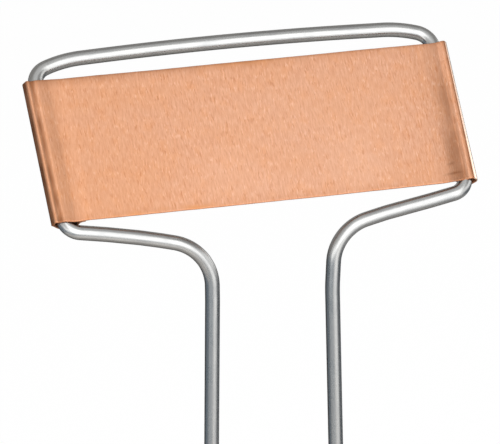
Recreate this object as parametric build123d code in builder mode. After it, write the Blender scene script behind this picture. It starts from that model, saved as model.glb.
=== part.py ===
from build123d import *
from math import asin, cos, degrees, radians, sin, sqrt, tan
import os

# Plant label stake: one bent steel wire with two legs carries a copper nameplate,
# whose ends are curled round the wire's two uprights.
# Millimetres. +Z is up along the legs, X runs across the nameplate, which faces -Y and leans back.
# The origin is midway between the tips of the two legs.

# Wire and legs
wire_diameter = 3.0
leg_length = 220.0  # from a leg's tip up to the corner of its knee, along Z
leg_pitch = 24.6  # between the corners of the two knees
leg_splay = 1.0  # degrees, each leg outwards towards its tip
knee_radius = 10.4  # on the wire's centreline, as are the other bend radii
tip_chamfer = 0.4

# Shoulders, from the knees out to the head loop's lower corners
shoulder_rise = 5.0
shoulder_reach = 1.9  # how far the lower corners lie behind the legs

# Head loop, flat in a plane that leans back
head_tilt = 45.0  # degrees, from the legs
lower_bend_radius = 3.5  # at the loop's lower corners
upper_bend_radius = 4.1
bar_end_radius = 24.5  # the top bar's drooping ends
bar_end_slope = 19.0  # degrees, where a drooping end meets its corner bend
bar_slope = 2.3  # degrees, half of the turn in the bar's shallow bow
bow_share = 0.95  # of the bar's half length that the bow takes up
bend_spacing = 0.4  # straight wire left between two bends

# Nameplate
plate_width = 89.0  # over both curls
plate_height = 31.6
sheet_thickness = 0.35

# Curls at the nameplate's ends
front_radius = 1.0  # outer radii of the sheet's bends
back_radius = 1.6
flap_radius = 1.2
pocket_clearance = 0.15  # between the wire and the sheet before it, and the same behind it
side_clearance = 0.85  # between the wire and the curl's outer side
back_run_share = 0.8  # of the wire's diameter, from the upright's centre inwards along the back
flap_lean_share = 0.6  # of the wire's diameter, sideways along the slanted flap
flap_end_gap = 0.55  # between the slanted flap's end and the sheet before it
valley_depth = 0.28  # shallow valley pressed into the front beside the upright
valley_share = 0.83  # of the wire's diameter, from the upright's centre inwards to the valley
flat_share = 1.8  # of the wire's diameter, from the upright's centre inwards to the flat front
swell_radius = 20.0
valley_radius = 12.0

# How the nameplate is trapped on the uprights
slide_travel = 2.0
stop_clearance = 0.2  # along the uprights, between the flaps and the bends that stop them
stop_depth_share = 0.4  # of the wire's radius, from its centre back to where a flap meets a bend

# Sizes that follow from those above
wire_radius = wire_diameter / 2
curl_depth = 2 * sheet_thickness + 2 * pocket_clearance + wire_diameter
front_offset = sheet_thickness + pocket_clearance + wire_radius  # wire's centre to the nameplate's front
upright_x = plate_width / 2 - sheet_thickness - side_clearance - wire_radius

# The flap slants from the back of the curl towards the front sheet, inboard of the upright.
flap_bend_x = upright_x - back_run_share * wire_diameter
flap_end_x = flap_bend_x - flap_lean_share * wire_diameter
flap_end_depth = sheet_thickness + flap_end_gap
flap_slope = (flap_bend_x - flap_end_x) / (curl_depth - flap_end_depth)
flap_wall = sheet_thickness * sqrt(1 + flap_slope**2)
stop_depth = stop_depth_share * wire_radius
stop_half_width = sqrt(wire_radius**2 - stop_depth**2)
flap_stop_x = flap_end_x + flap_slope * (front_offset + stop_depth - flap_end_depth) + flap_wall


def stop_height(bend_radius):
    """Distance along the upright from a bend's centre to where the flap meets its inner side."""
    inner_radius = bend_radius - stop_half_width
    across = flap_stop_x - (upright_x - bend_radius)
    return sqrt(inner_radius**2 - across**2)


# The head's plane passes through the lower corners: its x runs across and its y up the uprights.
head_origin = Vector(0, shoulder_reach, leg_length + shoulder_rise)
up_head = Vector(0, sin(radians(head_tilt)), cos(radians(head_tilt)))
head_front = Vector(0, -cos(radians(head_tilt)), sin(radians(head_tilt)))
head_plane = Plane(origin=head_origin, x_dir=(1, 0, 0), z_dir=head_front)

# Heights up the uprights, from the lower corners
shoulder_x = upright_x - leg_pitch / 2
shoulder_length = sqrt(shoulder_x**2 + shoulder_rise**2 + shoulder_reach**2)
shoulder_dip = (shoulder_rise * up_head.Z + shoulder_reach * up_head.Y) / shoulder_length
lower_turn = 90 - degrees(asin(shoulder_dip))
lower_tangent = lower_bend_radius * tan(radians(lower_turn / 2))
upper_tangent = upper_bend_radius * tan(radians((90 - bar_end_slope) / 2))
rest_height = lower_tangent - stop_height(lower_bend_radius) + stop_clearance
travel_top = rest_height + plate_height + slide_travel
upper_corner_height = travel_top + stop_clearance - stop_height(upper_bend_radius) + upper_tangent

# Corners of the top bar
bar_end_tangent = bar_end_radius * tan(radians((bar_end_slope - bar_slope) / 2))
corner_run = bar_end_tangent + bend_spacing + upper_tangent
bar_end_x = upright_x - corner_run * cos(radians(bar_end_slope))
bar_end_height = upper_corner_height + corner_run * sin(radians(bar_end_slope))
bar_height = bar_end_height + bar_end_x * tan(radians(bar_slope))
bow_run = bar_end_x / cos(radians(bar_slope)) - bar_end_tangent
bow_radius = bow_share * bow_run / tan(radians(bar_slope))


def on_head(across, height):
    """Point on the head's plane, from its place across and up the uprights."""
    return head_plane.from_local_coords(Vector(across, height, 0))


def half_route(side):
    """Corners of one half of the wire, from the leg's tip to the end of the top bar."""
    knee = Vector(side * leg_pitch / 2, 0, leg_length)
    tip = Vector(knee.X + side * leg_length * tan(radians(leg_splay)), 0, 0)
    lower_corner = on_head(side * upright_x, 0)
    upper_corner = on_head(side * upright_x, upper_corner_height)
    bar_end = on_head(side * bar_end_x, bar_end_height)
    return [tip, knee, lower_corner, upper_corner, bar_end]


def half_section(side):
    """Outer line of one half of the nameplate's section: flap's end, back, outer side, front."""
    return [
        (side * flap_end_x, flap_end_depth),
        (side * flap_bend_x, curl_depth),
        (side * plate_width / 2, curl_depth),
        (side * plate_width / 2, 0),
        (side * upright_x, 0),
        (side * (upright_x - valley_share * wire_diameter), valley_depth),
        (side * (upright_x - flat_share * wire_diameter), 0),
    ]


# Wire: leg, shoulder, upright, top bar, upright, shoulder and leg in one length
route = half_route(-1) + [on_head(0, bar_height)] + half_route(1)[::-1]
half_radii = [knee_radius, lower_bend_radius, upper_bend_radius, bar_end_radius]
leg_direction = route[1] - route[0]

with BuildPart() as wire_frame:
    with BuildLine() as wire_line:
        FilletPolyline(*route, radius=half_radii + [bow_radius] + half_radii[::-1])
    with BuildSketch(Plane(origin=route[0], z_dir=leg_direction)):
        Circle(wire_radius)
    sweep()
    leg_ends = wire_frame.edges().filter_by(GeomType.CIRCLE).group_by(Axis.Z)[0]
    chamfer(leg_ends, length=tip_chamfer)

# Nameplate: copper sheet with both ends curled back round the uprights
plate_origin = head_origin + up_head * rest_height + head_front * front_offset
section_plane = Plane(origin=plate_origin, x_dir=(1, 0, 0), z_dir=up_head)
section_radii = [flap_radius, back_radius, front_radius, swell_radius, valley_radius, valley_radius]

with BuildPart() as nameplate:
    with BuildSketch(section_plane):
        with BuildLine() as sheet_line:
            FilletPolyline(
                *half_section(-1),
                *half_section(1)[::-1],
                radius=section_radii + section_radii[::-1],
            )
            offset(amount=sheet_thickness, side=Side.LEFT)
        make_face()
    extrude(amount=plate_height)

os.makedirs("parts", exist_ok=True)
wire_frame.part.label = "wire_frame"
export_step(wire_frame.part, "parts/wire_frame.step")
nameplate.part.label = "nameplate"
export_step(nameplate.part, "parts/nameplate.step")
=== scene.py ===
import bmesh
import bpy
import math
from mathutils import Matrix, Vector, noise


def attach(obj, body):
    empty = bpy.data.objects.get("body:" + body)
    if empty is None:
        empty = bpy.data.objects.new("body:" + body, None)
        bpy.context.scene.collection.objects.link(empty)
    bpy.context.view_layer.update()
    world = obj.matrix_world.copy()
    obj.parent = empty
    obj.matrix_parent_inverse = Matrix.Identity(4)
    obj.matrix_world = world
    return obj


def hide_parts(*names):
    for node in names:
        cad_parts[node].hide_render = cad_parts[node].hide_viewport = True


# Plant label stake, dressed: a satin galvanised wire and a copper nameplate curled round its uprights.
# Metres. The nameplate faces -Y and leans back, the legs stand on z = 0.

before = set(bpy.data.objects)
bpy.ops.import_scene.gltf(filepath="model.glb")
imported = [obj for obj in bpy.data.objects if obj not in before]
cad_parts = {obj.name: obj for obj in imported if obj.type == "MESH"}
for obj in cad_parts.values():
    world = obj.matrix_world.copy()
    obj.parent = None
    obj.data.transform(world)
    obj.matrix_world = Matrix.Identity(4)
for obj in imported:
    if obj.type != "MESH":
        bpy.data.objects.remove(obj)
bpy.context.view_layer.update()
scene = bpy.context.scene

mm = 0.001

# Wire, on its centreline
wire_radius = 1.5 * mm
leg_length = 220.0 * mm
leg_pitch = 24.6 * mm
leg_splay = math.radians(1.0)
left_knee_radius = 10.1 * mm
right_knee_radius = 8.8 * mm
tip_chamfer = 0.4 * mm
shoulder_rise = 5.0 * mm
shoulder_reach = 1.9 * mm
head_tilt = math.radians(45.0)
lower_bend_radius = 3.5 * mm
upper_bend_radius = 4.1 * mm
bar_end_radius = 24.5 * mm
bow_radius = 749.54 * mm
upright_x = 41.8 * mm
upper_corner_height = 35.4854 * mm
bar_end_x = 35.2565 * mm
bar_end_height = 37.7385 * mm
bar_height = 39.1546 * mm

# The wire is bent by hand, and its two halves differ a little.
leg_shift = 0.18 * mm  # both legs, to the right
leg_lean = math.radians(0.2)  # both legs, to the left towards their tips
leg_bend_drop = 12.0 * mm  # from the knee down to the leg's slight bend
leg_bend_radius = 40.0 * mm
left_knee_offset = (-0.26 * mm, -1.13 * mm)  # of the knee's corner, across and up, beside the legs' shift
right_knee_offset = (0.83 * mm, 0.17 * mm)
bar_lean = -0.10 * mm  # how far the top bar's right end rises and its left end drops
bar_lift = -0.13 * mm  # how far the top bar's middle rises

# Places along each shoulder, 0 at the knee and 1 at the head loop, and how far the wire stands up there
left_shoulder = [(0.36, -0.29 * mm), (0.50, -0.05 * mm), (0.72, 0.08 * mm)]
right_shoulder = [(0.40, 0.31 * mm), (0.74, 0.05 * mm)]
shoulder_radius = 34.0 * mm

# Nameplate
plate_height = 31.6 * mm
sheet_thickness = 0.35 * mm
edge_rounding = 0.12 * mm
rest_height = 1.1605 * mm
front_offset = 2.0 * mm

# Corners of the sheet's outer line at each end, from the flap's end round the curl to the front, in mm:
# across, depth behind the front, bend radius. The two curls were closed by hand and differ a little.
left_curl = [
    (37.55, 0.88, 0.0), (38.55, 1.04, 0.8), (39.40, 4.00, 1.1), (42.75, 4.00, 1.5),
    (44.56, 1.80, 0.8), (43.85, 0.00, 0.48), (42.95, 0.24, 0.42), (41.95, -0.02, 1.2),
    (39.30, 0.30, 5.0), (36.30, 0.00, 8.0),
]
right_curl = [
    (37.75, 0.84, 0.0), (39.62, 1.02, 0.5), (40.12, 4.00, 0.9), (42.70, 4.00, 1.4),
    (44.30, 2.10, 0.8), (44.30, 1.00, 1.15), (43.42, 0.00, 0.40), (42.60, 0.05, 0.6),
    (41.85, 0.42, 0.8), (38.40, 0.08, 12.0), (36.00, 0.00, 10.0),
]
# Both ends reach farther out at the top than at mid height, and less far at the bottom.
left_taper = 0.06 * mm
right_taper = 0.34 * mm
# The right end's valley is deeper at the bottom and shallower at the top.
right_valley_press = 0.12 * mm
# The right flap lies close to the wire, so its corners are clipped to clear the wire's bends.
right_flap_clip = 1.35 * mm

# Wear, browning and painted shade. Those without a size are shares.
most_bend_wear = 0.6  # of rubbed zinc, in the wire's tightest bends
full_wear_radius = 2.0 * mm  # a bend this tight would be rubbed all over
tip_wear = 0.3
edge_wear_width = 0.22 * mm  # along the nameplate's sheared edges
# The curls' outer sides, backs and flaps are painted brown for shade, much on the left and little on the
# right.
left_curl_painted_shade = 0.85  # outside, on a curl's side, back and flap
right_curl_painted_shade = 0.15
inner_browning = 0.55  # on the nameplate's inner face
inner_curl_browning = 0.37  # how much more of it there is inside the curls

# Steps of the meshes
fewest_arc_steps = 6
wire_arc_step = 0.45 * mm
wire_run_step = 1.0 * mm
wire_sides = 40
section_arc_step = 0.10 * mm
section_run_step = 0.35 * mm
fine_rows = 18  # of the nameplate, up to fine_top
fine_top = 4.6 * mm
coarse_rows = 54  # above it

# Depths behind the nameplate's front, and below its outer face
front_depth = 0.9 * mm  # the front sheet lies before this
side_depth = 0.5 * mm  # a curl's outer side starts here
face_depth = 0.02 * mm  # a place this near to a face counts as on it

# The head's plane: across is x, up runs up the uprights, front is the way the nameplate faces
head_origin = Vector((0, shoulder_reach, leg_length + shoulder_rise))
across = Vector((1, 0, 0))
up_head = Vector((0, math.sin(head_tilt), math.cos(head_tilt)))
head_front = Vector((0, -math.cos(head_tilt), math.sin(head_tilt)))


def on_head(x, height, forward=0.0):
    """Point of the head's plane, or in front of it."""
    return head_origin + across * x + up_head * height + head_front * forward


def rounded_line(corners, radii, arc_step, run_step):
    """Points along a polyline with rounded corners, with how strongly the line bends at each (1 / radius)."""
    points = [corners[0].copy()]
    bends = [0.0]

    def run_to(end):
        start = points[-1]
        count = max(1, round((end - start).length / run_step))
        for k in range(1, count + 1):
            points.append(start.lerp(end, k / count))
            bends.append(0.0)

    for i, radius in enumerate(radii, 1):
        back = (corners[i - 1] - corners[i]).normalized()
        ahead = (corners[i + 1] - corners[i]).normalized()
        half = back.angle(ahead) / 2
        centre = corners[i] + (back + ahead).normalized() * (radius / math.sin(half))
        first = corners[i] + back * (radius / math.tan(half)) - centre
        last = corners[i] + ahead * (radius / math.tan(half)) - centre
        run_to(centre + first)
        turn = first.angle(last)
        count = max(fewest_arc_steps, round(turn * radius / arc_step))
        for k in range(1, count + 1):
            share = k / count
            first_share = math.sin((1 - share) * turn) / math.sin(turn)
            last_share = math.sin(share * turn) / math.sin(turn)
            points.append(centre + first * first_share + last * last_share)
            bends.append(1 / radius)
    run_to(corners[-1])
    return points, bends


def running_lengths(points):
    """How far along the line each point lies."""
    lengths = [0.0]
    for a, b in zip(points, points[1:]):
        lengths.append(lengths[-1] + (b - a).length)
    return lengths


def directions_along(points):
    """The way that the line runs at each point."""
    directions = []
    for i in range(len(points)):
        a = points[max(0, i - 1)]
        b = points[min(len(points) - 1, i + 1)]
        directions.append((b - a).normalized())
    return directions


def smooth_step(low, high, value):
    """0 up to low, 1 from high on, and a smooth rise between."""
    share = min(1.0, max(0.0, (value - low) / (high - low)))
    return share * share * (3 - 2 * share)


def plateau(start, full, fade, end, value):
    """0 up to start, 1 from full to fade, and 0 again from end on."""
    return smooth_step(start, full, value) * (1 - smooth_step(fade, end, value))


def hump(centre, half_width, value):
    """1 at centre, falling smoothly to 0 at half_width from it."""
    return 1 - smooth_step(0.0, half_width, abs(value - centre))


def up_share(height):
    """-1 at the nameplate's bottom edge, 0 at mid height and 1 at its top edge."""
    return 2 * height / plate_height - 1


def add_object(name, data):
    added = bpy.data.objects.new(name, data)
    scene.collection.objects.link(added)
    return added


def add_mesh(name, rows, uv_rows, marks, material):
    """A tube of rings with closed ends as a mesh, with UVs in metres and named marks per vertex."""
    mesh = bpy.data.meshes.new(name)
    bm = bmesh.new()
    uv_layer = bm.loops.layers.uv.new("surface")
    layers = {key: bm.verts.layers.float.new(key) for key in marks[0][0]}
    grid = []
    for row, mark_row in zip(rows, marks):
        line = []
        for co, vertex_marks in zip(row, mark_row):
            v = bm.verts.new(co)
            for key, layer in layers.items():
                v[layer] = vertex_marks[key]
            line.append(v)
        grid.append(line)
    ring = len(rows[0])
    for i in range(len(rows) - 1):
        for j in range(ring):
            k = (j + 1) % ring
            face = bm.faces.new((grid[i][j], grid[i][k], grid[i + 1][k], grid[i + 1][j]))
            face.smooth = True
            uvs = (uv_rows[i][j], uv_rows[i][j + 1], uv_rows[i + 1][j + 1], uv_rows[i + 1][j])
            for loop, uv in zip(face.loops, uvs):
                loop[uv_layer].uv = uv
    # The first ring is turned round, so that both ends look the same way as the sides, in or out.
    for i in (0, len(rows) - 1):
        face = bm.faces.new(grid[i] if i else grid[i][::-1])
        for loop in face.loops:
            loop[uv_layer].uv = uv_rows[i][grid[i].index(loop.vert)]
    bm.normal_update()
    bm.to_mesh(mesh)
    bm.free()
    piece = add_object(name, mesh)
    mesh.materials.append(material)
    return piece


# Node helpers
def new_material(name):
    material = bpy.data.materials.new(name)
    material.use_nodes = True
    tree = material.node_tree
    tree.nodes.clear()
    return material, tree


def node(tree, kind, inputs=None, **settings):
    made = tree.nodes.new(kind)
    for key, value in settings.items():
        setattr(made, key, value)
    for key, value in (inputs or {}).items():
        if isinstance(value, bpy.types.NodeSocket):
            tree.links.new(value, made.inputs[key])
        else:
            made.inputs[key].default_value = value
    return made


def calc(tree, operation, a, b):
    return node(tree, "ShaderNodeMath", {0: a, 1: b}, operation=operation).outputs[0]


def surface_uv(tree):
    return node(tree, "ShaderNodeUVMap", uv_map="surface").outputs[0]


def stretched_noise(tree, uv, size_u, size_v, detail=2.0, roughness=0.5, turn=0.0, shift=0.0):
    """Noise whose features are size_u by size_v metres on the surface. Its shift is in tenths of a metre."""
    offset = shift * 100 * mm
    mapping = node(tree, "ShaderNodeMapping", {
        "Vector": uv, "Location": (offset, offset, 0.0), "Rotation": (0.0, 0.0, turn),
        "Scale": (size_u, size_v, 1.0),
    }, vector_type="TEXTURE")
    return node(tree, "ShaderNodeTexNoise", {
        "Vector": mapping.outputs[0], "Scale": 1.0, "Detail": detail, "Roughness": roughness,
    }, noise_dimensions="2D").outputs["Fac"]


def map_range(tree, value, low, high, to_low, to_high):
    return node(tree, "ShaderNodeMapRange", {
        "Value": value, "From Min": low, "From Max": high, "To Min": to_low, "To Max": to_high,
    }).outputs[0]


def mix_colour(tree, share, a, b):
    """Colour a with a share of b over it. The node keeps its colours in inputs 6 and 7."""
    return node(tree, "ShaderNodeMix", {0: share, 6: a, 7: b}, data_type="RGBA").outputs[2]


def mark(tree, name):
    return node(tree, "ShaderNodeAttribute", attribute_name=name).outputs["Fac"]


def metal_surface(tree, colour, metallic, roughness, height, bump_strength, bump_distance):
    """The material's shader and output. Its bumps stand up by bump_distance where height is 1."""
    bump = node(tree, "ShaderNodeBump", {
        "Strength": bump_strength, "Distance": bump_distance, "Height": height,
    })
    shader = node(tree, "ShaderNodeBsdfPrincipled", {
        "Base Color": colour, "Metallic": metallic, "Roughness": roughness, "Normal": bump.outputs[0],
    })
    node(tree, "ShaderNodeOutputMaterial", {0: shader.outputs[0]})


def copper_material():
    material, tree = new_material("copper_sheet")
    uv = surface_uv(tree)
    fine = stretched_noise(tree, uv, 0.33 * mm, 2.2 * mm, detail=3.5, roughness=0.66, turn=-0.02)
    dashes = stretched_noise(tree, uv, 0.28 * mm, 2.0 * mm, detail=1.5, turn=0.04, shift=3.7)
    glints = stretched_noise(tree, uv, 0.30 * mm, 1.3 * mm, detail=1.5, turn=-0.08, shift=9.2)
    mottle = stretched_noise(tree, uv, 2.0 * mm, 3.4 * mm, detail=3.0, roughness=0.6, shift=1.3)
    clouds = stretched_noise(tree, uv, 13 * mm, 9 * mm, shift=5.1)
    wear = mark(tree, "wear")
    polish_highlight_mark = mark(tree, "polish_and_painted_highlight")

    light_copper = (0.800, 0.443, 0.288, 1)
    dark_copper = (0.615, 0.280, 0.155, 1)
    deep_copper = (0.500, 0.185, 0.080, 1)
    glint_copper = (0.930, 0.600, 0.440, 1)
    warm_copper = (0.740, 0.335, 0.150, 1)
    brown = (0.320, 0.130, 0.060, 1)
    painted_highlight_copper = (0.960, 0.820, 0.690, 1)
    clustered = map_range(tree, mottle, 0.38, 0.62, 0.20, 1.0)
    strokes = calc(tree, "MULTIPLY", map_range(tree, dashes, 0.59, 0.70, 0.0, 0.72), clustered)
    bright = calc(tree, "MULTIPLY", map_range(tree, glints, 0.60, 0.70, 0.0, 0.62), clustered)
    colour = mix_colour(tree, map_range(tree, fine, 0.32, 0.68, 0.0, 0.70), light_copper, dark_copper)
    # What covers the copper, one coat over the other: its share, and its colour
    coats = [
        (map_range(tree, clouds, 0.35, 0.70, 0.22, 0.0), warm_copper),
        (strokes, deep_copper),
        (bright, glint_copper),
        (map_range(tree, mottle, 0.48, 0.75, 0.0, 0.32), warm_copper),
        # A painted reflection: paler copper from the middle to the right, most towards the bottom
        (mark(tree, "pale"), glint_copper),
        (mark(tree, "warm"), warm_copper),
        # Brown: oxide on the inner face, and painted shade on the front, the curls' outer sides and the flaps
        (mark(tree, "tarnish_and_painted_shade"), brown),
        (calc(tree, "MULTIPLY", wear, 0.55), brown),
        # A painted highlight in pale copper on the right curl's outer corner
        (calc(tree, "MULTIPLY", polish_highlight_mark, 0.65), painted_highlight_copper),
    ]
    for share, coat in coats:
        colour = mix_colour(tree, share, colour, coat)

    patchy = map_range(tree, mottle, 0.3, 0.7, 0.36, 0.42)
    rough = calc(tree, "ADD", patchy, map_range(tree, fine, 0.3, 0.7, -0.03, 0.03))
    rough = calc(tree, "ADD", rough, calc(tree, "MULTIPLY", wear, 0.25))
    rough = calc(tree, "SUBTRACT", rough, calc(tree, "MULTIPLY", polish_highlight_mark, 0.20))
    # The inside of the sheet keeps the dull skin of the rolling mill, which isn't metallic.
    metallic = calc(tree, "SUBTRACT", 1.0, calc(tree, "MULTIPLY", mark(tree, "skin"), 0.6))

    height = calc(tree, "ADD", calc(tree, "MULTIPLY", fine, 0.6), calc(tree, "MULTIPLY", glints, 0.3))
    height = calc(tree, "SUBTRACT", height, calc(tree, "MULTIPLY", dashes, 0.3))
    metal_surface(tree, colour, metallic, rough, height, bump_strength=1.0, bump_distance=0.022 * mm)
    return material


def steel_material():
    material, tree = new_material("galvanised_steel")
    uv = surface_uv(tree)
    streaks = stretched_noise(tree, uv, 9 * mm, 0.22 * mm, roughness=0.55)
    clouds = stretched_noise(tree, uv, 5 * mm, 2.2 * mm, detail=3.0, roughness=0.6, shift=2.9)
    grains = stretched_noise(tree, uv, 0.35 * mm, 0.3 * mm, shift=7.3)
    cut = mark(tree, "cut")

    zinc = (0.362, 0.364, 0.360, 1)
    pale_zinc = (0.43, 0.43, 0.42, 1)
    dull_zinc = (0.28, 0.285, 0.29, 1)
    colour = mix_colour(tree, map_range(tree, streaks, 0.35, 0.7, 0.0, 0.5), zinc, pale_zinc)
    colour = mix_colour(tree, map_range(tree, clouds, 0.45, 0.75, 0.0, 0.5), colour, dull_zinc)
    colour = mix_colour(tree, mark(tree, "worn"), colour, pale_zinc)
    colour = mix_colour(tree, cut, colour, dull_zinc)

    rough = map_range(tree, clouds, 0.3, 0.7, 0.25, 0.32)
    rough = calc(tree, "ADD", rough, calc(tree, "MULTIPLY", cut, 0.18))

    height = calc(tree, "ADD", calc(tree, "MULTIPLY", streaks, 0.7), calc(tree, "MULTIPLY", grains, 0.3))
    metal_surface(tree, colour, 1.0, rough, height, bump_strength=0.06, bump_distance=0.02 * mm)
    return material


# Wire: one tube along the whole route
def half_route(side):
    """Corners of one half, with the small unevenness of a wire bent by hand."""
    even_knee = Vector((side * leg_pitch / 2 + leg_shift, 0, leg_length))
    tip = even_knee + Vector((leg_length * (side * math.tan(leg_splay) - math.tan(leg_lean)), 0, -leg_length))
    leg_bend = even_knee.lerp(tip, leg_bend_drop / leg_length)
    knee_across, knee_rise = left_knee_offset if side < 0 else right_knee_offset
    knee = even_knee + Vector((knee_across, 0, knee_rise))
    lower_corner = on_head(side * upright_x, 0)
    shoulder = []
    for place, rise in left_shoulder if side < 0 else right_shoulder:
        shoulder.append(even_knee.lerp(lower_corner, place) + Vector((0, 0, rise)))
    upper_corner = on_head(side * upright_x, upper_corner_height)
    bar_end = on_head(side * bar_end_x, bar_end_height + side * bar_lean)
    return [tip, leg_bend, knee, *shoulder, lower_corner, upper_corner, bar_end]


def half_radii(knee_radius, shoulder):
    """Bend radii at the corners of one half, all but the leg's tip."""
    head_radii = [lower_bend_radius, upper_bend_radius, bar_end_radius]
    return [leg_bend_radius, knee_radius] + [shoulder_radius] * len(shoulder) + head_radii


def tip_rings():
    """Rings from the middle of a leg's square-cut end out over its chamfer: inset, radius, cut, wear."""
    cap_radius = wire_radius - tip_chamfer
    cap_shares = (0.35, 0.7, 1.0)
    chamfer_shares = (0.5, 1.0)
    rings = [(0.0, cap_radius * share, 1.0, 0.0) for share in cap_shares]
    for share in chamfer_shares:
        rings.append((tip_chamfer * share, wire_radius - tip_chamfer * (1 - share), 1.0 - share, tip_wear))
    return rings


def build_wire(material):
    route = half_route(-1) + [on_head(0, bar_height + bar_lift)] + half_route(1)[::-1]
    left_radii = half_radii(left_knee_radius, left_shoulder)
    right_radii = half_radii(right_knee_radius, right_shoulder)
    radii = left_radii + [bow_radius] + right_radii[::-1]
    centres, bends = rounded_line(route, radii, wire_arc_step, wire_run_step)
    lengths = running_lengths(centres)
    directions = directions_along(centres)
    normal = Vector((0, -1, 0))
    rows, uvs, marks = [], [], []

    def add_ring(centre, direction, radius, length, cut, wear):
        nonlocal normal
        normal = (normal - direction * normal.dot(direction)).normalized()
        other = direction.cross(normal)
        ring = []
        for k in range(wire_sides):
            angle = 2 * math.pi * k / wire_sides
            ring.append(centre + (normal * math.cos(angle) + other * math.sin(angle)) * radius)
        rows.append(ring)
        uvs.append([(length, 2 * math.pi * wire_radius * k / wire_sides) for k in range(wire_sides + 1)])
        marks.append([{"worn": wear, "cut": cut}] * wire_sides)

    first, last = directions[0], directions[-1]
    end_length = lengths[-1]
    for inset, radius, cut, wear in tip_rings():
        add_ring(centres[0] + first * inset, first, radius, inset, cut, wear)
    for centre, direction, length, bend in zip(centres, directions, lengths, bends):
        # The zinc is rubbed paler where the wire is bent, most in the tightest bends.
        wear = min(most_bend_wear, bend * full_wear_radius)
        if 2 * tip_chamfer < length < end_length - 2 * tip_chamfer:
            add_ring(centre, direction, wire_radius, length, 0.0, wear)
    for inset, radius, cut, wear in reversed(tip_rings()):
        add_ring(centres[-1] - last * inset, last, radius, end_length - inset, cut, wear)
    return add_mesh("steel_wire", rows, uvs, marks, material)


# Nameplate: one sheet whose ends are curled back round the uprights
def section_line():
    """Points along the sheet's outer line: across, and depth behind the front."""
    corners = [(-x, depth, radius) for x, depth, radius in left_curl] + right_curl[::-1]
    points = [Vector((x * mm, depth * mm, 0)) for x, depth, _ in corners]
    radii = [radius * mm for _, _, radius in corners[1:-1]]
    return rounded_line(points, radii, section_arc_step, section_run_step)[0]


def sheet_steps():
    """Places on one turn round the sheet: height, and how far below the outer face.

    The turn runs up the outer face, over the rounded top edge, down the inner face and round the bottom edge.
    """
    heights = [edge_rounding + (fine_top - edge_rounding) * k / fine_rows for k in range(fine_rows)]
    for k in range(coarse_rows + 1):
        heights.append(fine_top + (plate_height - edge_rounding - fine_top) * k / coarse_rows)
    rounding = []
    for angle in (30, 60, 90):
        a = math.radians(angle)
        rounding.append((edge_rounding * math.sin(a), edge_rounding * (1 - math.cos(a))))
    rounding += [(out, sheet_thickness - inward) for out, inward in rounding[::-1]]
    steps = [(height, 0.0) for height in heights]
    steps += [(plate_height - edge_rounding + out, inward) for out, inward in rounding]
    steps += [(height, sheet_thickness) for height in reversed(heights)]
    steps += [(edge_rounding - out, inward) for out, inward in reversed(rounding)]
    return steps


def sheet_noise(x, height, across_rate, up_rate, layer):
    """Smooth noise over the sheet, with so many features to the metre across and up. Layers differ."""
    return noise.noise(Vector((x * across_rate, height * up_rate, layer)))


def edge_noise(x, rate, row, layer):
    """Smooth noise along an edge, with so many features to the metre. Rows and layers differ."""
    return noise.noise(Vector((x * rate, row, layer)))


def unevenness(x, height):
    """How far the sheet's hand-worked front is pressed in, or stands out where this is below 0."""
    wave = 0.035 * sheet_noise(x, height, 55, 45, 1.7)
    ripple = 0.010 * sheet_noise(x, height, 160, 120, 4.2)
    calm = smooth_step(0.0, 6 * mm, 41 * mm - abs(x))
    return (wave + ripple) * calm * mm


def warmth(x, height):
    """Where the copper is a warmer orange.

    That is along the top edge, most in the middle, in spots along the bottom edge, and a little at the left,
    where it is painted shade.
    """
    spots = max(0.0, sheet_noise(x, height, 420, 900, 8.4) + 0.25)
    top = hump(plate_height, 1.7 * mm, height) * (0.15 + 0.85 * hump(1.0 * mm, 13 * mm, x))
    bottom = hump(0.0, 1.6 * mm, height) * hump(-18 * mm, 22 * mm, x) * spots
    # Painted shade: a little darker and warmer at the left, the other end of the painted reflection that is
    # paler on the right.
    left = (1 - smooth_step(-36 * mm, -6 * mm, x)) * (1 + 0.8 * hump(0.0, 12 * mm, height))
    return min(1.0, 0.9 * top + 1.1 * bottom + 0.17 * left)


def painted_reflection_gradient(x, height):
    """A painted lighter reflection: the face is paler from the middle to the right, most towards the bottom.
    """
    wide = plateau(-22 * mm, 12 * mm, 24 * mm, 37 * mm, x) * plateau(0.0, 3 * mm, 21 * mm, 30 * mm, height)
    right_patch = hump(19.5 * mm, 9 * mm, x) * hump(6 * mm, 13 * mm, height)
    middle_patch = 0.8 * hump(-7 * mm, 11 * mm, x) * hump(6.5 * mm, 9 * mm, height)
    return min(1.0, 0.09 * wide + 0.12 * (right_patch + middle_patch))


def right_painted_shade(x, height, low):
    """Painted shade and dark reflection in brown on the right of the front: over the valley, the crest and
    the corner, and in two creases near the bottom.
    """
    place = x / mm - 0.15 * up_share(height)
    wider = 1.4 * smooth_step(0.5, 1.0, low)
    valley = 0.54 * plateau(38.8 - wider, 41.6 - wider, 41.8, 42.6, place)
    valley *= 0.22 + 0.78 * smooth_step(0.10, 0.50, low)
    crest = 0.30 * smooth_step(42.7, 43.2, place)
    corner = 0.50 * hump(43.36, 0.30, x / mm)
    crease_centre = 39.2
    slant = place - crease_centre
    upper_crease = 0.6 * hump(4.0, 0.45, height / mm - 0.10 * slant) * hump(crease_centre, 1.5, place)
    lower_crease = hump(1.80, 0.45, height / mm - 0.05 * slant) * hump(crease_centre, 3.0, place)
    return valley + crest + corner + 0.60 * (upper_crease + lower_crease)


def left_painted_shade(x, low):
    """Painted shade in brown on the left of the front: the narrow valley, a haze inboard of it, and the
    crest.
    """
    place = -x / mm
    valley = 0.85 * hump(42.80, 0.62 + 0.15 * low, place)
    valley_foot = 0.45 * hump(42.35, 0.7, place) * smooth_step(0.75, 1.0, low)
    haze = 0.12 * hump(39.6, 3.0, place) + 0.03 * smooth_step(10, 36, place)
    crest = 0.15 * smooth_step(43.6, 44.0, place) * (1 - low)
    return valley + valley_foot + haze + crest


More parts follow.
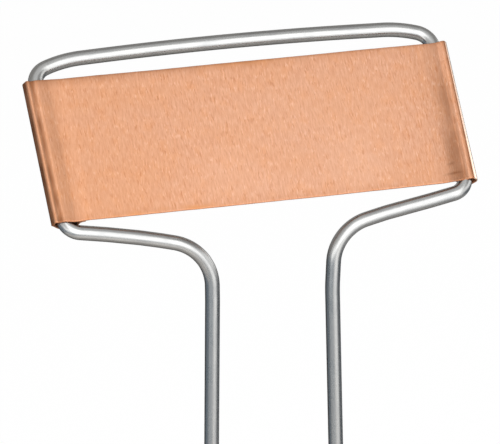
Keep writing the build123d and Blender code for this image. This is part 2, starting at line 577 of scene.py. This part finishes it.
def painted_shade_and_browning(x, depth, height):
    """How far the copper is browned, over the front, the curls' outer sides and the flaps: painted shade in
    the front's valleys, crests and creases and on the curls' sides, bands along the top and bottom edges, and
    random patches.
    """
    low = 1 - height / plate_height
    if x > 0:
        amount = right_curl_painted_shade if depth > side_depth else right_painted_shade(x, height, low)
    else:
        amount = left_curl_painted_shade if depth > side_depth else left_painted_shade(x, low)
    top_share = 0.33 - 0.20 * smooth_step(-12 * mm, 18 * mm, x)
    amount += top_share * hump(plate_height, 2.4 * mm, height) + 0.10 * hump(0.0, 2.0 * mm, height)
    patchy = 1 + 0.7 * sheet_noise(x, height, 260, 260, 3.1)
    return min(1.0, max(0.0, amount * patchy))


def polish_and_painted_highlight(x, depth):
    """Where the right curl's outer corner is smoother and carries a painted highlight in pale copper."""
    return plateau(0.10 * mm, 0.24 * mm, 1.9 * mm, 2.5 * mm, depth) if x >= 43.0 * mm else 0.0


def sheet_marks(x, depth, height, inward):
    """The marks that the copper material reads, at a place that lies so far below the outer face."""
    inner = inward > 0.5 * sheet_thickness
    sheared = face_depth < inward < sheet_thickness - face_depth
    from_edge = min(height, plate_height - height)
    inner_brown = inner_browning + inner_curl_browning * smooth_step(38 * mm, 40 * mm, abs(x))
    return {
        "warm": 0.0 if inner else warmth(x, height),
        "pale": 0.0 if inner else painted_reflection_gradient(x, height),
        "tarnish_and_painted_shade": inner_brown if inner else painted_shade_and_browning(x, depth, height),
        "wear": 1.0 if sheared else hump(0.0, edge_wear_width, from_edge),
        "skin": 1.0 if inner else 0.0,
        "polish_and_painted_highlight": 0.0 if inner else polish_and_painted_highlight(x, depth),
    }


def end_shift(x, depth, height):
    """How far an end leans across from the section at mid height, and how much deeper its valley is."""
    lean = up_share(height)
    if x > 0:
        reach = smooth_step(36 * mm, 42.5 * mm, x)
        side = smooth_step(0.4 * mm, 1.6 * mm, depth)
        valley = plateau(37.0 * mm, 41.2 * mm, 41.6 * mm, 42.5 * mm, x) * (1 - side)
        return right_taper * lean * reach * (1 - 0.7 * side), -right_valley_press * lean * valley
    return -left_taper * lean * smooth_step(40 * mm, 43 * mm, -x), 0.0


def behind_front(depth):
    """0 in the front sheet, and 1 in the curls behind it."""
    return smooth_step(0.55 * mm, 0.75 * mm, depth)


def edge_bow(x, depth, height):
    """How far up a place moves: the bottom edge bows down, the corners lie higher and both edges waver."""
    low = max(0.0, -up_share(height))
    high = max(0.0, up_share(height))
    bow_centre, bow_half_width = 6, 43
    bow = 0.18 * max(0.0, 1 - ((x / mm - bow_centre) / bow_half_width) ** 2)
    wave = 0.06 * edge_noise(x, 90, 5.5, 0.3) + 0.03 * edge_noise(x, 420, 2.5, 7.3)
    right_end = 0.45 * smooth_step(36 * mm, 42 * mm, x)
    left_end = 0.15 * smooth_step(39.5 * mm, 42 * mm, -x)
    left_back = 0.30 * smooth_step(1.0 * mm, 3.0 * mm, depth) * smooth_step(41.5 * mm, 43 * mm, -x)
    bottom_edge = wave - bow + (right_end + left_end + left_back)

    top_wave = 0.08 * edge_noise(x, 70, 9.5, 4.3) + 0.03 * edge_noise(x, 420, 1.5, 3.3)
    top_left = 0.22 * smooth_step(36.5 * mm, 39.5 * mm, -x) + 0.12 * smooth_step(43.0 * mm, 44.3 * mm, -x)
    top_right = 0.28 * smooth_step(40 * mm, 43 * mm, x)
    # The top corners stand up a little, but not the flaps behind them.
    standing = max(1 - behind_front(depth), smooth_step(42.6 * mm, 43.6 * mm, abs(x)))
    top_edge = top_wave + standing * (top_left + top_right)
    return (low * bottom_edge + high * top_edge) * mm


def flap_clip(x, depth, height):
    """How far up a place on the right flap moves, or down in its upper half, as its edges are cut back."""
    share = behind_front(depth) * (1 - smooth_step(40.5 * mm, 41.4 * mm, x))
    return right_flap_clip * share * -up_share(height) if x > 0 else 0.0


def build_nameplate(material):
    line = section_line()
    lengths = running_lengths(line)
    normals = [Vector((along.y, -along.x, 0)) for along in directions_along(line)]
    steps = sheet_steps()
    rows, uvs, marks = [], [], []
    for point, outward, length in zip(line, normals, lengths):
        x, depth = point.x, point.y
        # A flap's end may lie as near to the front, but its outer face looks backwards.
        looks_back = outward.y >= 0.2
        in_front = depth < front_depth and not looks_back
        row = []
        for height, inward in steps:
            moved = point - outward * inward
            pressed = unevenness(x, height) if in_front else 0.0
            across_shift, deeper = end_shift(x, depth, height)
            lift = edge_bow(x, depth, height) + flap_clip(x, depth, height)
            row.append(on_head(moved.x + across_shift, rest_height + height + lift,
                               front_offset - moved.y - pressed - deeper))
        uv_row = [(length - lengths[-1] / 2, height) for height, _ in steps]
        rows.append(row)
        uvs.append(uv_row + uv_row[:1])
        marks.append([sheet_marks(x, depth, height, inward) for height, inward in steps])
    return add_mesh("copper_nameplate", rows, uvs, marks, material)


wire = build_wire(steel_material())
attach(wire, "stake")
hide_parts("wire_frame")

nameplate = build_nameplate(copper_material())
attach(nameplate, "label")
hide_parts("nameplate")

# Camera, at the photograph's angle
camera_azimuth = math.radians(-15.2885)
camera_elevation = math.radians(19.769)
camera_roll = math.radians(-0.7262)
camera_distance = 1.0
camera_across = -0.5384 * mm  # how far the camera is shifted sideways from its target
camera_up = -16.6234 * mm
camera_target = on_head(0, 16 * mm)
pixels_per_metre = 4967.1
image_width = 500
sensor_width = 36


def direction_of(azimuth, elevation):
    """From angles in radians. Azimuth 0 is in front of the nameplate, at -Y, and a quarter turn is at +X."""
    return Vector((
        math.sin(azimuth) * math.cos(elevation),
        -math.cos(azimuth) * math.cos(elevation),
        math.sin(elevation),
    ))


def add_camera():
    back = direction_of(camera_azimuth, camera_elevation)
    level_right = Vector((math.cos(camera_azimuth), math.sin(camera_azimuth), 0))
    level_up = back.cross(level_right)
    right = level_right * math.cos(camera_roll) + level_up * math.sin(camera_roll)
    up = level_up * math.cos(camera_roll) - level_right * math.sin(camera_roll)
    data = bpy.data.cameras.new("camera")
    data.sensor_width = sensor_width
    data.lens = sensor_width * pixels_per_metre * camera_distance / image_width
    data.clip_start = 0.01
    data.clip_end = 50
    camera = add_object("camera", data)
    place = camera_target + right * camera_across + up * camera_up + back * camera_distance
    turn = Matrix((right, up, back)).transposed().to_4x4()
    camera.matrix_world = Matrix.Translation(place) @ turn
    scene.camera = camera


add_camera()

# Stage: a pale floor that stays white, and keeps the object's shadow
floor_half = 6.0
floor_whiteness = 0.88  # share of plain white, before the camera and in reflections
floor_paint = (0.96, 0.96, 0.96, 1)
plain_white = (1, 1, 1, 1)
world_light = 0.85
head_middle = on_head(0, rest_height + plate_height / 2)


def background_rays(tree):
    """1 for camera, glossy and transmission rays, else 0."""
    path = node(tree, "ShaderNodeLightPath")
    either = calc(tree, "MAXIMUM", path.outputs["Is Camera Ray"], path.outputs["Is Glossy Ray"])
    return calc(tree, "MAXIMUM", either, path.outputs["Is Transmission Ray"])


def add_floor():
    mesh = bpy.data.meshes.new("floor")
    corners = [(-1, -1), (1, -1), (1, 1), (-1, 1)]
    mesh.from_pydata([(x * floor_half, y * floor_half, 0) for x, y in corners], [], [(0, 1, 2, 3)])
    floor = add_object("floor", mesh)
    material, tree = new_material("floor_white")
    pale = node(tree, "ShaderNodeBsdfDiffuse", {"Color": floor_paint})
    white = node(tree, "ShaderNodeEmission", {"Color": plain_white, "Strength": 1.0})
    share = calc(tree, "MULTIPLY", background_rays(tree), floor_whiteness)
    mixed = node(tree, "ShaderNodeMixShader", {0: share, 1: pale.outputs[0], 2: white.outputs[0]})
    node(tree, "ShaderNodeOutputMaterial", {0: mixed.outputs[0]})
    mesh.materials.append(material)


def add_world():
    world = bpy.data.worlds.new("studio")
    scene.world = world
    world.use_nodes = True
    tree = world.node_tree
    tree.nodes.clear()
    ambient = node(tree, "ShaderNodeBackground", {"Color": plain_white, "Strength": world_light})
    seen = node(tree, "ShaderNodeBackground", {"Color": plain_white, "Strength": 1.0})
    share = background_rays(tree)
    mixed = node(tree, "ShaderNodeMixShader", {0: share, 1: ambient.outputs[0], 2: seen.outputs[0]})
    node(tree, "ShaderNodeOutputWorld", {0: mixed.outputs[0]})


def soft_lamp(name, azimuth, elevation, distance, size, watts):
    """A square softbox that faces the head. Its azimuth and elevation are in degrees."""
    data = bpy.data.lights.new(name, "AREA")
    data.size = size
    data.energy = watts
    lamp = add_object(name, data)
    away = direction_of(math.radians(azimuth), math.radians(elevation))
    lamp.location = head_middle + away * distance
    lamp.rotation_mode = "QUATERNION"
    lamp.rotation_quaternion = away.to_track_quat("Z", "Y")
    lamp.visible_camera = False
    lamp.visible_glossy = False


# Each card lies at a distance of its own. Where two reach the floor, the nearer one lies higher.
card_step = 3.0  # degrees
floor_card_distance = 2.0  # a card at this distance would lie on the floor itself
floor_card_lift = 40 * mm  # of a card above the floor, for each metre that it is nearer


def studio_card(name, azimuths, elevations, distance, shade, feather):
    """A curved card round the head with soft edges, which only the metal's reflections see.

    Bright ones are the faces of softboxes and dark ones are flags. Where a card would pass through the floor,
    it lies just above it. Angles are in degrees, and so is the feather, the width of a soft edge.
    """
    left, right = azimuths
    bottom, top = elevations
    columns = max(2, round((right - left) / card_step))
    lines = max(2, round((top - bottom) / card_step))
    drop = head_middle.z - (floor_card_distance - distance) * floor_card_lift
    verts, faces, cover = [], [], []
    for i in range(lines + 1):
        elevation = bottom + (top - bottom) * i / lines
        for j in range(columns + 1):
            azimuth = left + (right - left) * j / columns
            away = direction_of(math.radians(azimuth), math.radians(elevation))
            reach = drop / -away.z if away.z * distance < -drop else distance
            verts.append(head_middle + away * reach)
            side_gap = min(azimuth - left, right - azimuth) * math.cos(math.radians(elevation))
            # A card that runs right round has no side edges, and one straight below has no bottom edge.
            if right - left >= 360:
                side_gap = feather
            end_gap = min(elevation - bottom if bottom > -90 else feather, top - elevation)
            cover.append(smooth_step(0, feather, side_gap) * smooth_step(0, feather, end_gap))
    for i in range(lines):
        for j in range(columns):
            a = i * (columns + 1) + j
            faces.append((a, a + 1, a + columns + 2, a + columns + 1))
    mesh = bpy.data.meshes.new(name)
    mesh.from_pydata(verts, [], faces)
    attribute = mesh.attributes.new("cover", "FLOAT", "POINT")
    attribute.data.foreach_set("value", cover)
    card = add_object(name, mesh)
    material, tree = new_material(name)
    glow = node(tree, "ShaderNodeEmission", {"Color": (*shade, 1), "Strength": 1.0})
    clear = node(tree, "ShaderNodeBsdfTransparent")
    share = mark(tree, "cover")
    mixed = node(tree, "ShaderNodeMixShader", {0: share, 1: clear.outputs[0], 2: glow.outputs[0]})
    node(tree, "ShaderNodeOutputMaterial", {0: mixed.outputs[0]})
    material.cycles.emission_sampling = "NONE"
    mesh.materials.append(material)
    card.visible_camera = False
    card.visible_diffuse = False
    card.visible_transmission = False
    card.visible_shadow = False


def grey(value, blue=0.0):
    """A grey that is bluer for blue above 0, and warmer below it."""
    return (value * (1 - blue / 2), value, value * (1 + blue / 2))


# Name, azimuths, elevations, distance, shade, feather
studio_cards = [
    ("flag_under", (-180, 180), (-90, -42), 1.95, grey(0.58, -0.12), 16),
    ("flag_back", (85, 275), (-60, 86), 1.92, grey(0.46, -0.06), 14),
    ("flag_under_back", (90, 270), (-90, -46), 1.89, grey(0.22, -0.08), 14),
    ("flag_back_low", (120, 250), (-54, 4), 1.86, grey(0.10), 12),
    ("flag_left_low", (-128, -58), (-46, -2), 1.83, grey(0.33, 0.40), 10),
    ("flag_right_low", (53, 125), (-42, -8), 1.80, grey(0.18, 0.28), 9),
    ("flag_right_floor", (38, 105), (-62, -28), 1.785, grey(0.50), 10),
    ("floor_left", (-95, 10), (-72, -26), 1.77, grey(0.85, -0.08), 14),
    ("floor_front", (-38, 31), (-64, -24), 1.74, grey(1.40, -0.08), 14),
    ("flag_front_left", (-66, 0), (-34, -10), 1.71, grey(0.40, 0.44), 9),
    ("flag_right", (40, 106), (22, 64), 1.68, grey(0.46, -0.03), 8),
    ("flag_left", (-112, -56), (14, 70), 1.65, grey(0.70, -0.03), 12),
    ("softbox_right", (42, 118), (-8, 24), 1.62, grey(1.75), 10),
    ("softbox_low", (4, 54), (-29, -7), 1.59, grey(2.3), 8),
    ("softbox_left", (-66, -26), (-18, 14), 1.56, grey(2.4), 10),
    ("softbox_top", (-36, 0), (42, 70), 1.53, grey(1.7), 12),
    ("softbox_key", (-36, 43), (-14, 57), 1.50, grey(3.1), 11),
    ("softbox_rim", (99, 127), (-6, 18), 1.47, grey(1.9), 5),
]

add_floor()
add_world()
soft_lamp("key_lamp", azimuth=10, elevation=45, distance=1.6, size=1.2, watts=12)
for card in studio_cards:
    studio_card(*card)

scene.view_settings.view_transform = "Standard"
